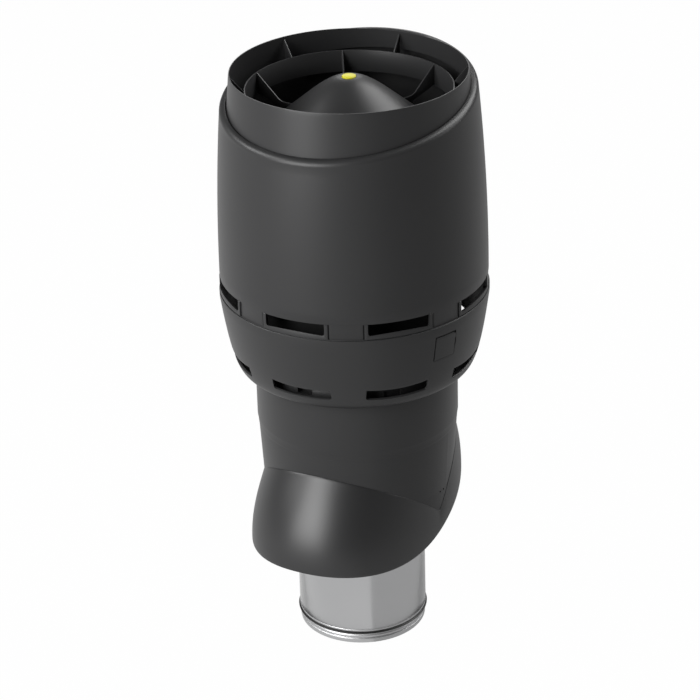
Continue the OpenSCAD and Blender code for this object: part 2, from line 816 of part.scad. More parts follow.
module rubber_mounts() {
    color("black") around(4, 45) translate([mount_pcd_r, 0, mount_z]) difference() {
        cylinder(r = 8, h = mount_h);
        translate([0, 0, -over]) cylinder(r = mount_hole_r, h = mount_h + 2 * over);
    }
}

module motor_screws() {
    color("silver") around(4, 45) translate([mount_pcd_r, 0, pod_floor + pod_wall])
        screw(2.4, pod_wall + mount_h + 4, 4.5, 3);
}

bearing_r = 11;
bearing_h = 7;
cup_low = plate_z - rotor_h;
cup_wall = 4;

module motor_stator() {
    core_r = rotor_r - cup_wall - 2;
    core_low = cup_low + cup_wall + 5;
    color("gray") difference() {
        union() {
            translate([0, 0, flange_z]) cylinder(r = mount_pcd_r + 12, h = 5);
            translate([0, 0, core_low]) cylinder(r = 18, h = flange_z - core_low);
            translate([0, 0, core_low + 4]) cylinder(r = core_r, h = rotor_h - 22);
        }
        translate([0, 0, core_low - over]) cylinder(r = bearing_r, h = flange_z - core_low + over);
        around(4, 45) translate([mount_pcd_r, 0, flange_z - over])
            cylinder(r = 2.4, h = 5 + 2 * over);
    }
}

module motor_bearings() {
    core_low = cup_low + cup_wall + 5;
    color("silver") for (z = [core_low, flange_z - bearing_h]) translate([0, 0, z]) difference() {
        cylinder(r = bearing_r, h = bearing_h);
        translate([0, 0, -over]) cylinder(r = shaft_r + shaft_play, h = bearing_h + 2 * over);
    }
}

box_low = pod_floor + pod_wall;
box_w = 64;
box_d = 44;
box_h = 40;
box_wall = 2.5;
box_y = mount_pcd_r - 4;

module motor_lead() {
    color("black") translate([lead_at[0], lead_at[1], flange_z + 5])
        cylinder(r = lead_r, h = box_low + 12 - flange_z - 5);
}

module lead_grommet() {
    color("black") translate([lead_at[0], lead_at[1], pod_floor]) difference() {
        cylinder(r = lead_r + 2, h = pod_wall);
        translate([0, 0, -over]) cylinder(r = lead_r, h = pod_wall + 2 * over);
    }
}

lid_screw_in = 6;
lid_screw_r = 1.5;
lid_post_r = 4;

// Posts in the four corners of the box; a negative growth gives the bores in them
module lid_posts(grow) {
    for (x = [lid_screw_in, box_w - lid_screw_in]) for (y = [lid_screw_in, box_d - lid_screw_in])
        translate([-box_w / 2 + x, box_y + y, box_low + box_wall + (grow < 0 ? over : -over)])
            cylinder(r = grow < 0 ? lid_screw_r : lid_post_r, h = box_h + over, $fn = 32);
}

module terminal_box() {
    color("darkgray") difference() {
        translate([-box_w / 2, box_y, box_low]) cube([box_w, box_d, box_h]);
        difference() {
            translate([-box_w / 2 + box_wall, box_y + box_wall, box_low + box_wall])
                cube([box_w - 2 * box_wall, box_d - 2 * box_wall, box_h]);
            lid_posts(1);
        }
        lid_posts(-1);
        translate([lead_at[0], lead_at[1], box_low - over])
            cylinder(r = lead_r + 0.2, h = box_wall + 2 * over);
        translate([-box_w / 2 - over, box_y + box_d / 2, box_low + box_h / 2]) rotate([0, 90, 0])
            cylinder(r = 8, h = box_wall + 2 * over);
    }
}

module terminal_lid() {
    color("darkgray") translate([-box_w / 2, box_y, box_low + box_h]) difference() {
        cube([box_w, box_d, 3]);
        for (x = [lid_screw_in, box_w - lid_screw_in]) for (y = [lid_screw_in, box_d - lid_screw_in])
            translate([x, y, -over]) cylinder(r = lid_screw_r + 0.1, h = 3 + 2 * over, $fn = 32);
    }
}

module lid_screws() {
    color("silver")
        for (x = [lid_screw_in, box_w - lid_screw_in]) for (y = [lid_screw_in, box_d - lid_screw_in])
            translate([-box_w / 2 + x, box_y + y, box_low + box_h + 3]) screw(lid_screw_r - 0.05, 10, 3, 2);
}

module cable_gland() {
    color("black") translate([-box_w / 2 + box_wall, box_y + box_d / 2, box_low + box_h / 2])
        rotate([0, -90, 0]) difference() {
            union() {
                cylinder(r = 7.9, h = box_wall + 1);
                translate([0, 0, box_wall]) cylinder(r = 11, h = 5, $fn = 6);
                translate([0, 0, box_wall + 4]) cylinder(r = 8.5, h = 9);
            }
            translate([0, 0, -over]) cylinder(r = 4, h = 30);
        }
}

// Rotating wheel

wheel_screws = 6;
wheel_screw_r = 1.5;

module wheel_holes(low, high) {
    around(wheel_screws) translate([rotor_r + 5, 0, low - over])
        cylinder(r = wheel_screw_r + 0.1, h = high - low + 2 * over, $fn = 32);
}

module motor_rotor() {
    color("gray") difference() {
        rotate_extrude() polygon([
            [shaft_r, cup_low], [rotor_r, cup_low], [rotor_r, plate_z - 3], [rotor_r + 10, plate_z - 3],
            [rotor_r + 10, plate_z], [rotor_r - cup_wall, plate_z],
            [rotor_r - cup_wall, cup_low + cup_wall], [shaft_r, cup_low + cup_wall]
        ]);
        wheel_holes(plate_z - 3, plate_z);
    }
}

module motor_shaft() {
    color("silver") translate([0, 0, cup_low - 4]) cylinder(r = shaft_r, h = flange_z - seat - cup_low + 4);
}

module impeller_back_plate() {
    color("darkgray") difference() {
        rotate_extrude() polygon([
            [rotor_r - cup_wall, plate_z], [impeller_r, plate_z], [impeller_r, plate_z + impeller_t],
            [rotor_r - cup_wall, plate_z + impeller_t]
        ]);
        wheel_holes(plate_z, plate_z + impeller_t);
    }
}

shroud_eye = nozzle_r + nozzle_t + 2.4;
shroud_curve = bend([shroud_eye, wheel_low], [shroud_eye + 2, wheel_low + shroud_rise - 2],
    [impeller_r, plate_z - impeller_b], 8);

module impeller_shroud() {
    color("darkgray") rotate_extrude() polygon(concat(
        shroud_curve, reversed(shifted(shroud_curve, [0, impeller_t]))
    ));
}

blade_in = rotor_r + 11;
sweep = 46;
// Turn of the first blade, so that the wheel's X axis lies between two blades
blade_turn = -3;
blade_steps = 9;

// Middle line of a backward-curved blade: radius and angle
function blade_point(t, side) = let (
        r = blade_in + (impeller_r - 1 - blade_in) * t,
        a = -sweep * pow(t, 1.15) + side / r * 180 / PI
    ) [r * cos(a), r * sin(a)];

module impeller_blades() {
    // The blades begin above the nozzle, which reaches into the eye
    low = eye_z + 3;
    color("darkgray") intersection() {
        around(blades, blade_turn) translate([0, 0, wheel_low]) linear_extrude(plate_z - wheel_low)
            polygon(concat(
                [for (i = [0:blade_steps]) blade_point(i / blade_steps, -impeller_t)],
                [for (i = [blade_steps:-1:0]) blade_point(i / blade_steps, impeller_t)]
            ));
        rotate_extrude() polygon(concat(
            [[0, low], [shroud_eye, low]],
            [for (p = shroud_curve) if (p[1] + impeller_t > low) p + [0, impeller_t]],
            [[impeller_r, plate_z], [0, plate_z]]
        ));
    }
}

module impeller_screws() {
    color("silver") around(wheel_screws) translate([rotor_r + 5, 0, plate_z + impeller_t])
        screw(wheel_screw_r, impeller_t + 3, 3, 2);
}

steel_duct();
duct_lip_seal();
insulation();
outer_pipe();
rain_skirt();
neck_sleeve();
duct_gasket();
lower_bowl();
latch_bracket();
latch_button();
hood_shell();
outlet_collar();
outer_ribs();
diffuser_ring();
inner_ribs();
centre_cone();
cone_plug();
cone_screw();
cone_post();
fan_housing();
housing_screws();
inlet_nozzle();
guide_vanes();
motor_pod();
rubber_mounts();
motor_screws();
motor_stator();
motor_bearings();
motor_lead();
lead_grommet();
terminal_box();
terminal_lid();
lid_screws();
cable_gland();
motor_rotor();
motor_shaft();
impeller_back_plate();
impeller_blades();
impeller_shroud();
impeller_screws();
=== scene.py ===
import math

import bmesh
import bpy
from mathutils import Matrix, Vector


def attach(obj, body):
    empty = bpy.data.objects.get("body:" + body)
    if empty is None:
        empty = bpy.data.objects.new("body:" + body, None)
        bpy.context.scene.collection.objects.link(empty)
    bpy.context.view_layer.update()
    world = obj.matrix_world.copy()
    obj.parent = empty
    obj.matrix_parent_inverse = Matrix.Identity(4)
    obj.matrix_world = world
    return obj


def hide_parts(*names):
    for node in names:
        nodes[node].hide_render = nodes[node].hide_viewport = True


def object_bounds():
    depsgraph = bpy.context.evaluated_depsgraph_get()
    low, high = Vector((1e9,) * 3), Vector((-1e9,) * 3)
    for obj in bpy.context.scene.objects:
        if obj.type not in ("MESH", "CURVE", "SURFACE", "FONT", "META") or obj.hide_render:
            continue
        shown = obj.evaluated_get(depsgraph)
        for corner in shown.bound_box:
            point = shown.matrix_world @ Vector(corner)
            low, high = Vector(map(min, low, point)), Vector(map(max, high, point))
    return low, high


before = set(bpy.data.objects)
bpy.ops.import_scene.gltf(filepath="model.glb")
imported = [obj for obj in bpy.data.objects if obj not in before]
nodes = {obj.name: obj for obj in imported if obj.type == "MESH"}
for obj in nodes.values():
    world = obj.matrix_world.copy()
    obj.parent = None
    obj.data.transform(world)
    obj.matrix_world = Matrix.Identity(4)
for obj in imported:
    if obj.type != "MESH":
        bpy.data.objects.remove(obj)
cad_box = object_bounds()
bpy.ops.object.select_all(action="DESELECT")

# Camera
# A long lens above roof height, a little to the right of the slope line and looking down.
# Its place was fitted to the rim, the bowl and the duct of the photograph.
camera_turn = math.radians(26.5)
camera_reach = 3.73
camera_height = 2.3293
camera_pitch = 0.4636
camera_yaw = -0.0023
camera_roll = -0.0269
camera_lens = 140.76

bpy.ops.object.camera_add()
camera = bpy.context.object
camera.name = "photo_camera"
camera.data.lens = camera_lens
camera.data.sensor_width = 36
camera.data.clip_start = 0.05
camera.matrix_world = (
    Matrix.Rotation(camera_turn, 4, "Z")
    @ Matrix.Translation((0, -camera_reach, camera_height))
    @ Matrix.Rotation(math.pi / 2 - camera_pitch, 4, "X")
    @ Matrix.Rotation(-camera_yaw, 4, "Y")
    @ Matrix.Rotation(camera_roll, 4, "Z")
)
bpy.context.scene.camera = camera


# Charcoal plastic
# Polypropylene with a fine spark grain, dyed through, of which all the shells are moulded.
# The flow of the melt clouds its colour and gloss a little. The shells inside get a darker, duller copy of it,
# whose dark colour is painted shade for the inside of the hood.
class Value:
    """A socket of a node tree; arithmetic on it adds Math nodes."""

    def __init__(self, finish, socket):
        self.finish = finish
        self.socket = socket

    def math(self, operation, first, second=0.0):
        return self.finish.node("ShaderNodeMath", {"operation": operation}, {0: first, 1: second})

    def __add__(self, other):
        return self.math("ADD", self, other)

    def __sub__(self, other):
        return self.math("SUBTRACT", self, other)

    def __mul__(self, other):
        return self.math("MULTIPLY", self, other)

    def __rsub__(self, other):
        return self.math("SUBTRACT", other, self)

    __radd__ = __add__
    __rmul__ = __mul__


class Finish:
    """A node tree of one material or of the world."""

    def __init__(self, owner, output):
        owner.use_nodes = True
        self.owner = owner
        self.tree = owner.node_tree
        self.tree.nodes.clear()
        self.output = self.tree.nodes.new(output)

    def node(self, kind, settings, inputs, output=0):
        made = self.tree.nodes.new(kind)
        for name, setting in settings.items():
            setattr(made, name, setting)
        for name, value in inputs.items():
            self.feed(made.inputs[name], value)
        return Value(self, made.outputs[output])

    def feed(self, socket, value):
        if isinstance(value, Value):
            self.tree.links.new(value.socket, socket)
        else:
            socket.default_value = value


class Surface(Finish):
    """A material with one Principled shader, whose patterns lie in the object's own space."""

    def __init__(self, name, base, fixed):
        super().__init__(bpy.data.materials.new(name), "ShaderNodeOutputMaterial")
        shader = self.node("ShaderNodeBsdfPrincipled", {}, {"Base Color": (*base, 1), **fixed}, "BSDF")
        self.feed(self.output.inputs["Surface"], shader)
        self.shader = shader.socket.node
        self.place = self.node("ShaderNodeTexCoord", {}, {}, "Object")

    def noise(self, scale, detail=2.0):
        """Noise with spots 1 / scale metres across."""
        fields = {"Vector": self.place, "Scale": scale, "Detail": detail}
        return self.node("ShaderNodeTexNoise", {}, fields, "Fac")

    def colour(self, share, low, high):
        """Base colour between two, by a share from 0 to 1; the Mix node's colour sockets are 6, 7 and 2."""
        mix = self.node("ShaderNodeMix", {"data_type": "RGBA"}, {0: share, 6: (*low, 1), 7: (*high, 1)}, 2)
        self.feed(self.shader.inputs["Base Color"], mix)

    def roughness(self, value):
        self.feed(self.shader.inputs["Roughness"], value)

    def relief(self, height, depth):
        """Bump from a height of 0 to 1, that many metres deep."""
        bump = self.node("ShaderNodeBump", {}, {"Height": height, "Distance": depth, "Strength": 1.0})
        self.feed(self.shader.inputs["Normal"], bump)


def paint(surface, *names):
    """Gives CAD nodes a material."""
    for name in names:
        nodes[name].data.materials.clear()
        nodes[name].data.materials.append(surface.owner)


def moulded(name, base, shine, low, high, rough, spread, grain):
    """Moulded plastic: clouds between two colours, a roughness with a spread, and a grain of that depth."""
    made = Surface(name, base, {"Specular IOR Level": shine})
    made.colour(made.noise(8, 3), low, high)
    made.roughness(rough + made.noise(5, 2) * spread)
    made.relief(made.noise(1500, 3), grain)
    return made


charcoal = moulded(
    "charcoal_shell", (0.024, 0.024, 0.0245), shine=0.34,
    low=(0.0185, 0.0185, 0.019), high=(0.0215, 0.0215, 0.022), rough=0.38, spread=0.06, grain=0.00003,
)
paint(charcoal, "outer_pipe", "latch_bracket")

# A darker copy of the charcoal for the fan housing, vanes and motor pod: painted shade inside the hood.
inner_black_painted_shade = moulded(
    "inner_shell_painted_shade", (0.009, 0.009, 0.009), shine=0.25,
    low=(0.008, 0.008, 0.0082), high=(0.0105, 0.0105, 0.0107), rough=0.55, spread=0.08, grain=0.00003,
)
paint(inner_black_painted_shade, "fan_housing", "guide_vanes", "motor_pod")


# Steel duct
# Galvanised sheet with two rolls pressed into its lower end, a seat for the seal and a fine crease above it.
# The pressed end is rougher than the plain sheet, so its reflections are softer.
duct_r = 0.100
duct_sheet = 0.0009
duct_end_in = 0.0012
end_round = 0.0022
groove_z = 0.0085
groove_side = 0.0015
groove_round = 0.0008
roll_top = 0.0162
roll_round = 0.0036
seat_in = 0.001
seat_low = 0.0168
seat_high = 0.0208
seat_round = 0.0012
crease_z = 0.0248
crease_half = 0.0004
crease_deep = 0.0003
pole_r = 0.00001
weld = 0.00003
duct_top = nodes["steel_duct"].bound_box[1][2]


def arc(centre, radius, first, last, count=6):
    """Points of a round corner in radius and height, between two angles in degrees."""
    turns = [math.radians(first + (last - first) * i / count) for i in range(count + 1)]
    return [(centre[0] + radius * math.cos(t), centre[1] + radius * math.sin(t)) for t in turns]


def bend(start, pull, end, count=12):
    """Points of a curve with one bend."""
    points = []
    for share in [i / count for i in range(count + 1)]:
        near, middle, far = (1 - share) ** 2, 2 * share * (1 - share), share * share
        points.append(tuple(near * a + middle * m + far * b for a, m, b in zip(start, pull, end)))
    return points


def turned(name, profile, columns=192, close=True, turn=0.0):
    """A revolved piece: a circle that is extruded and resized from point to point of its profile."""
    (first_r, first_z), *others = profile
    bpy.ops.mesh.primitive_circle_add(vertices=columns, radius=first_r, rotation=(0, 0, math.radians(turn)))
    bpy.ops.object.transform_apply(rotation=True)
    piece = bpy.context.object
    piece.name = name
    bpy.ops.object.mode_set(mode="EDIT")
    bpy.ops.mesh.select_mode(type="VERT")
    bpy.ops.mesh.select_all(action="SELECT")
    bpy.ops.transform.translate(value=(0, 0, first_z))
    r, z = first_r, first_z
    for next_r, next_z in others + ([profile[0]] if close else []):
        bpy.ops.mesh.extrude_region_move(TRANSFORM_OT_translate={"value": (0, 0, next_z - z)})
        share = max(next_r, pole_r) / r
        bpy.ops.transform.resize(value=(share, share, 1), center_override=(0, 0, next_z))
        r, z = max(next_r, pole_r), next_z
    bpy.ops.mesh.select_all(action="SELECT")
    bpy.ops.mesh.remove_doubles(threshold=weld)
    bpy.ops.mesh.delete_loose()
    bpy.ops.mesh.normals_make_consistent(inside=False)
    bpy.ops.object.mode_set(mode="OBJECT")
    return piece


def applied(piece, kind, **settings):
    """Applies one modifier to a piece."""
    bpy.ops.object.select_all(action="DESELECT")
    piece.select_set(True)
    bpy.context.view_layer.objects.active = piece
    modifier = piece.modifiers.new(kind, kind)
    for name, setting in settings.items():
        setattr(modifier, name, setting)
    bpy.ops.object.modifier_apply(modifier=modifier.name)


def eased(piece, width, angle=50):
    """Breaks the sharp edges of a piece, as a mould does."""
    applied(piece, "BEVEL", width=width, segments=2, angle_limit=math.radians(angle))


def finish(piece, surface, slot, body, *replaced, angle=35):
    """Shades a piece smooth up to an angle, paints it, and hands it over in place of its CAD nodes."""
    bpy.ops.object.select_all(action="DESELECT")
    piece.select_set(True)
    bpy.context.view_layer.objects.active = piece
    bpy.ops.object.transform_apply(location=True, rotation=True, scale=True)
    bpy.ops.object.shade_smooth_by_angle(angle=math.radians(angle))
    piece.data.materials.clear()
    piece.data.materials.append(surface.owner)
    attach(piece, body)
    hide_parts(*replaced)
    bpy.ops.object.select_all(action="DESELECT")


end_r = duct_r - duct_end_in
roll_in = end_r - end_round
duct = turned(
    "duct",
    [(roll_in, 0)]
    + arc((end_r - end_round, end_round), end_round, -90, 0, 5)
    + arc((end_r - groove_side, groove_z - 0.0016), groove_side, 0, 75, 5)
    + arc((end_r - 0.0009, groove_z + 0.0006), groove_round, 220, 150, 3)
    + arc((end_r - 0.0026, (groove_z + roll_top) / 2 + 0.0004), roll_round, -46, 46, 12)
    + [(duct_r - seat_in, seat_low), (duct_r - seat_in, seat_high)]
    + arc((duct_r - seat_round, seat_high + 0.0016), seat_round, -60, 0, 4)
    + [(duct_r, crease_z - crease_half), (duct_r - crease_deep, crease_z), (duct_r, crease_z + crease_half)]
    + [(duct_r, duct_top), (duct_r - duct_sheet, duct_top), (duct_r - duct_sheet, seat_high + 0.003)]
    + [(roll_in, seat_high)],
    columns=256,
)
zinc_sheet = Surface("zinc_sheet", (0.56, 0.565, 0.57), {"Metallic": 1.0})
flow = zinc_sheet.noise(7, 2)
zinc_sheet.colour(flow, (0.45, 0.455, 0.46), (0.52, 0.52, 0.525))
height = zinc_sheet.node("ShaderNodeSeparateXYZ", {}, {"Vector": zinc_sheet.place}, "Z")
zinc_sheet.roughness(0.2 + flow * 0.05 + 0.2 * height.math("LESS_THAN", height, crease_z + 2 * crease_half))
finish(duct, zinc_sheet, "galvanised_steel", "housing", "steel_duct", angle=60)
paint(zinc_sheet, "inlet_nozzle")


# Lip seal
# One ring of black rubber in the duct's seat, whose soft lip closes the gap to the next duct.
seal_mid = 0.019
seal_out = 0.102
seal_in = duct_r - seat_in
seal_face = duct_r - 0.0003
seal_gap = 0.0002
lip_bend = duct_r + 0.0004
lip_root = 0.0014
lip_round = 0.0006
lip_below = (seal_out - 0.0005, seal_mid - 0.0008)
lip_above = (seal_out - 0.0008, seal_mid + 0.0007)
seal_ring = turned(
    "seal_ring",
    [(seal_in, seat_low + seal_gap), (seal_face, seat_low + seal_gap)]
    + bend((seal_face, seal_mid - lip_root), (lip_bend, seal_mid - 0.0009), lip_below, 4)
    + arc((seal_out - lip_round, seal_mid), lip_round, -70, 70, 5)
    + bend(lip_above, (lip_bend, seal_mid + 0.0008), (seal_face, seal_mid + lip_root), 4)
    + [(seal_face, seat_high - seal_gap), (seal_in, seat_high - seal_gap)],
)
rubber = Surface("seal_black", (0.010, 0.010, 0.010), {"Specular IOR Level": 0.4})
rubber.roughness(0.42 + rubber.noise(90, 2) * 0.14)
rubber.relief(rubber.noise(2200, 2), 0.00002)
finish(seal_ring, rubber, "seal_rubber", "housing", "duct_lip_seal")
paint(rubber, "duct_gasket", "rubber_mounts", "motor_lead", "lead_grommet", "cable_gland")


# Insulation
# Fine-celled foam between the duct and the jacket, seen only from below.
foam = Surface("foam_cells", (0.7, 0.66, 0.5), {})
foam.colour(foam.noise(220, 4), (0.62, 0.57, 0.42), (0.78, 0.74, 0.58))
foam.roughness(0.85 + foam.noise(300, 2) * 0.1)
foam.relief(foam.noise(700, 3), 0.0004)
paint(foam, "insulation")


# Rain skirt
# A moulded hood round the jacket: a lobe over the roof sleeve in front, a flare behind, thin at the sides.
# Lofted round the pipe from its crease down to its slanted rim.
skirt_front = 0.2083
skirt_side = 0.1506
skirt_back = 0.1725
rim_power = 2.22
rim_height = 0.2049
rim_slope = 0.37
rim_bow = 1.3
crease_front = 0.322
crease_side = 0.227
crease_back = 0.352
crease_turn = math.radians(81)
front_fall = 1.9
back_start = 1.2
back_rise = 4.2
bulge = 1.144
fall = 1.107
skirt_play = 0.0004
skirt_wall = 0.003
jacket_r = 0.1475
jacket_flare = 0.0048
flare_low = 0.262
flare_run = 0.092
tube_r = 0.15
tube_top = 0.3
tube_run = 0.1
skirt_rows = 30
skirt_columns = 256


def jacket_at(z):
    """Outer radius of the jacket, which widens over a part of its height."""
    return jacket_r + jacket_flare * min(1, max(0, (z - flare_low) / flare_run))


def skirt_point(angle, share):
    """Point of the skirt's face at an angle from the front, a share of the way from crease to rim."""
    along = skirt_front if math.cos(angle) > 0 else skirt_back
    slope, across = abs(math.cos(angle)) / along, abs(math.sin(angle)) / skirt_side
    rim = (slope**rim_power + across**rim_power) ** (-1 / rim_power)
    run = rim * math.cos(angle)
    low = rim_height - rim_slope * run + rim_bow * run * run
    turn = abs(angle)
    if turn < crease_turn:
        high = crease_front - (crease_front - crease_side) * (turn / crease_turn) ** front_fall
    else:
        back = ((turn - crease_turn) / (math.pi - crease_turn)) ** back_start
        high = crease_back - (crease_back - crease_side) * (1 - back) ** back_rise
    top_r = jacket_at(high) + skirt_play
    r = top_r + (rim - top_r) * math.sin(share * math.pi / 2) ** bulge
    return Vector((r * math.sin(angle), -r * math.cos(angle), high - (high - low) * share**fall))


tube = [(tube_r, tube_top - tube_run * i / skirt_rows) for i in range(skirt_rows + 1)]
skirt = turned("skirt", tube, skirt_columns, close=False)
for vertex in skirt.data.vertices:
    share = round((tube_top - vertex.co.z) / tube_run * skirt_rows) / skirt_rows
    vertex.co = skirt_point(math.atan2(vertex.co.x, -vertex.co.y), share)
applied(skirt, "SOLIDIFY", thickness=skirt_wall, offset=-1)
eased(skirt, 0.0009, 60)
# The skirt's charcoal is glossier than the shells' and has a darker base colour, which is painted shade on the
# skirt.
skirt_black_painted_shade = moulded(
    "charcoal_skirt_painted_shade", (0.013, 0.013, 0.0135), shine=0.57,
    low=(0.0115, 0.0115, 0.012), high=(0.0135, 0.0135, 0.014), rough=0.39, spread=0.06, grain=0.00002,
)
finish(skirt, skirt_black_painted_shade, "charcoal_plastic", "housing", "rain_skirt", angle=50)


# Hood
# One moulded shell that narrows upwards, with eight snap tabs at its foot and a rounded shoulder.
# Its upper edge is slanted like the roof, and from the shoulder a lip turns in to the collar.
hood_foot_r = 0.202
hood_foot_z = 0.6045
hood_rise = 0.321
hood_draw = 0.0171
hood_wall = 0.003
hood_rows = 20
edge_height = 0.8875
edge_tilt = math.radians(10.7)
shoulder = 0.009
shoulder_share = 0.0474
lip_share = 0.9452
lip_middle = -0.0025
lip_drop = 0.005
tab_deg = 13.1
tab_low = 0.5809
tab_inset = 0.0007
tab_step = 0.0004
first_tab = -67.5
slant = Vector((0, -math.sin(edge_tilt), math.cos(edge_tilt)))


def edge_point(y, drop=0.0):
    """Point of the slanted plane of the hood's upper edge, or below it."""
    return Vector((0, y, edge_height + y * math.tan(edge_tilt))) - slant * drop


def pick_edges(piece, test):
    """Selects the edges of a piece in edit mode whose middle passes a test."""
    bpy.ops.mesh.select_mode(type="EDGE")
    bpy.ops.mesh.select_all(action="DESELECT")
    shape = bmesh.from_edit_mesh(piece.data)
    for edge in shape.edges:
        edge.select_set(test(edge, (edge.verts[0].co + edge.verts[1].co) / 2))
    bmesh.update_edit_mesh(piece.data)


hood = turned(
    "hood",
    [
        (hood_foot_r - hood_draw * (i / hood_rows) ** 2, hood_foot_z + hood_rise * i / hood_rows)
        for i in range(hood_rows + 1)
    ],
    columns=360, close=False, turn=0.5,
)
bpy.ops.object.mode_set(mode="EDIT")
bpy.ops.mesh.select_all(action="SELECT")
bpy.ops.mesh.bisect(plane_co=edge_point(0, shoulder), plane_no=slant, clear_outer=True)
share, rise = 1.0, 0.0
for step in range(1, 10):
    arch = math.radians(step * 10)
    next_share = 1 - shoulder_share * (1 - math.cos(arch))
    next_rise = shoulder * math.sin(arch)
    bpy.ops.mesh.extrude_region_move(TRANSFORM_OT_translate={"value": slant * (next_rise - rise)})
    bpy.ops.transform.resize(
        value=(next_share / share,) * 3, center_override=edge_point(lip_middle, shoulder - next_rise)
    )
    share, rise = next_share, next_rise
bpy.ops.mesh.extrude_region_move()
bpy.ops.transform.resize(value=(lip_share / share,) * 3, center_override=edge_point(lip_middle))
bpy.ops.mesh.extrude_region_move(TRANSFORM_OT_translate={"value": slant * -lip_drop})
pick_edges(
    hood,
    lambda edge, middle: edge.is_boundary
    and middle.z < hood_foot_z + 0.001
    and abs((math.degrees(math.atan2(middle.y, middle.x)) - first_tab + 22.5) % 45 - 22.5) < tab_deg / 2,
)
bpy.ops.mesh.extrude_region_move(TRANSFORM_OT_translate={"value": (0, 0, -tab_step)})
tab_share = 1 - tab_inset / hood_foot_r
bpy.ops.transform.resize(value=(tab_share, tab_share, 1), center_override=(0, 0, 0))
bpy.ops.mesh.extrude_region_move(TRANSFORM_OT_translate={"value": (0, 0, tab_low - hood_foot_z + tab_step)})
bpy.ops.mesh.select_all(action="SELECT")
bpy.ops.mesh.normals_make_consistent(inside=False)
bpy.ops.object.mode_set(mode="OBJECT")
applied(hood, "SOLIDIFY", thickness=hood_wall, offset=-1)
eased(hood, 0.0004)
finish(hood, charcoal, "charcoal_plastic", "housing", "hood_shell")


# Lower bowl
# A moulded cup that carries the hood, with eight slots at its edge, eight low down and a pocket for each tab.
# Turned first, then cut through by the shapes of its slots, pockets, drains, hatch and latch window.
bowl_r = 0.2033
bowl_low_r = 0.1757
bowl_low = 0.456
bowl_wall = 0.0032
bowl_floor = 0.0035
bowl_top = hood_foot_z
band_r = 0.2025
band_wall = 0.006
band_low = 0.5806
band_seam = 0.0013
well_r = 0.160
well_top = 0.4827
well_wall = 0.003
bead_rise = 0.004
neck_hole = 0.1545
straight = 0.010
pull_rise = 0.0089
edge_round = 0.0004
foot_round = 0.0008
cut_out = 0.206
slot_turns = [-90 + 45 * i for i in range(8)]
tab_turns = [first_tab + 45 * i for i in range(8)]
upper_slot = (0.0945, 0.0157)
lower_slot = (0.0949, 0.0198)
slot_slope = 0.45
slot_round = 0.004
slot_rise = 0.028
upper_slot_in = 0.187
lower_slot_in = 0.165
lower_slot_r = 0.186
lower_slot_z = 0.4715
drain_in = 0.158
drain_out = 0.165
drain = (0.463, 0.473, 9)
hatch = (0.465, 0.475, 8.3, [-92])
pocket_r = 0.1987
pocket_deg = 15.1
latch_turn = -22.5
latch_low = 0.5226
latch_w = 0.0385
latch_h = 0.0385
latch_play = 0.0005
latch_gap = 0.0019
latch_notch = 0.003
latch_depth = 0.023
thumb = (0.0034, 0.015)
thumb_low = latch_low + 0.012
sharp = 0.001


def cutter(outline, turns, depth=0.0, slope=0.0, spin=0.0):
    """A solid from a flat outline at each azimuth.

    It is pulled outwards by a depth, on a slope, or spun round the axis by that many degrees.
    """
    parts = []
    for turn in turns:
        bpy.ops.mesh.primitive_circle_add(vertices=len(outline), fill_type="NGON")
        part = bpy.context.object
        for vertex, place in zip(part.data.vertices, outline):
            vertex.co = place
        bpy.ops.object.mode_set(mode="EDIT")
        bpy.ops.mesh.select_mode(type="VERT")
        bpy.ops.mesh.select_all(action="SELECT")
        if spin:
            bpy.ops.mesh.spin(steps=8, angle=math.radians(spin), center=(0, 0, 0), axis=(0, 0, 1))
            turn += spin / 2
        else:
            bpy.ops.mesh.extrude_region_move(TRANSFORM_OT_translate={"value": (depth, 0, depth * slope)})
        bpy.ops.mesh.select_all(action="SELECT")
        bpy.ops.mesh.normals_make_consistent(inside=False)
        bpy.ops.object.mode_set(mode="OBJECT")
        part.rotation_euler.z = math.radians(turn)
        bpy.ops.object.transform_apply(rotation=True)
        parts.append(part)
    for part in parts:
        part.select_set(True)
    bpy.context.view_layer.objects.active = parts[0]
    if len(parts) > 1:
        bpy.ops.object.join()
    return parts[0]


def window(near, far, low, size, rounds, turns, slope=0.0):
    """A cutter for windows of a width and height, with rounded lower corners, that may climb outwards."""
    wide, high = size
    half = wide / 2
    corners = arc((-half + rounds, low + rounds), rounds, 180, 270, 5)
    corners += arc((half - rounds, low + rounds), rounds, 270, 360, 5)
    outline = [(near, y, z) for y, z in corners + [(half, low + high), (-half, low + high)]]
    return cutter(outline, turns, depth=far - near, slope=slope)


def ring_sector(near, far, low, high, width, turns):
    """A cutter for pieces of a round groove."""
    return cutter([(near, 0, low), (far, 0, low), (far, 0, high), (near, 0, high)], turns, spin=width)


def combine(piece, tool, operation="DIFFERENCE"):
    """Cuts a piece with a tool, or joins them in another way, and takes the tool away."""
    applied(piece, "BOOLEAN", object=tool, operation=operation, solver="EXACT")
    bpy.data.objects.remove(tool)


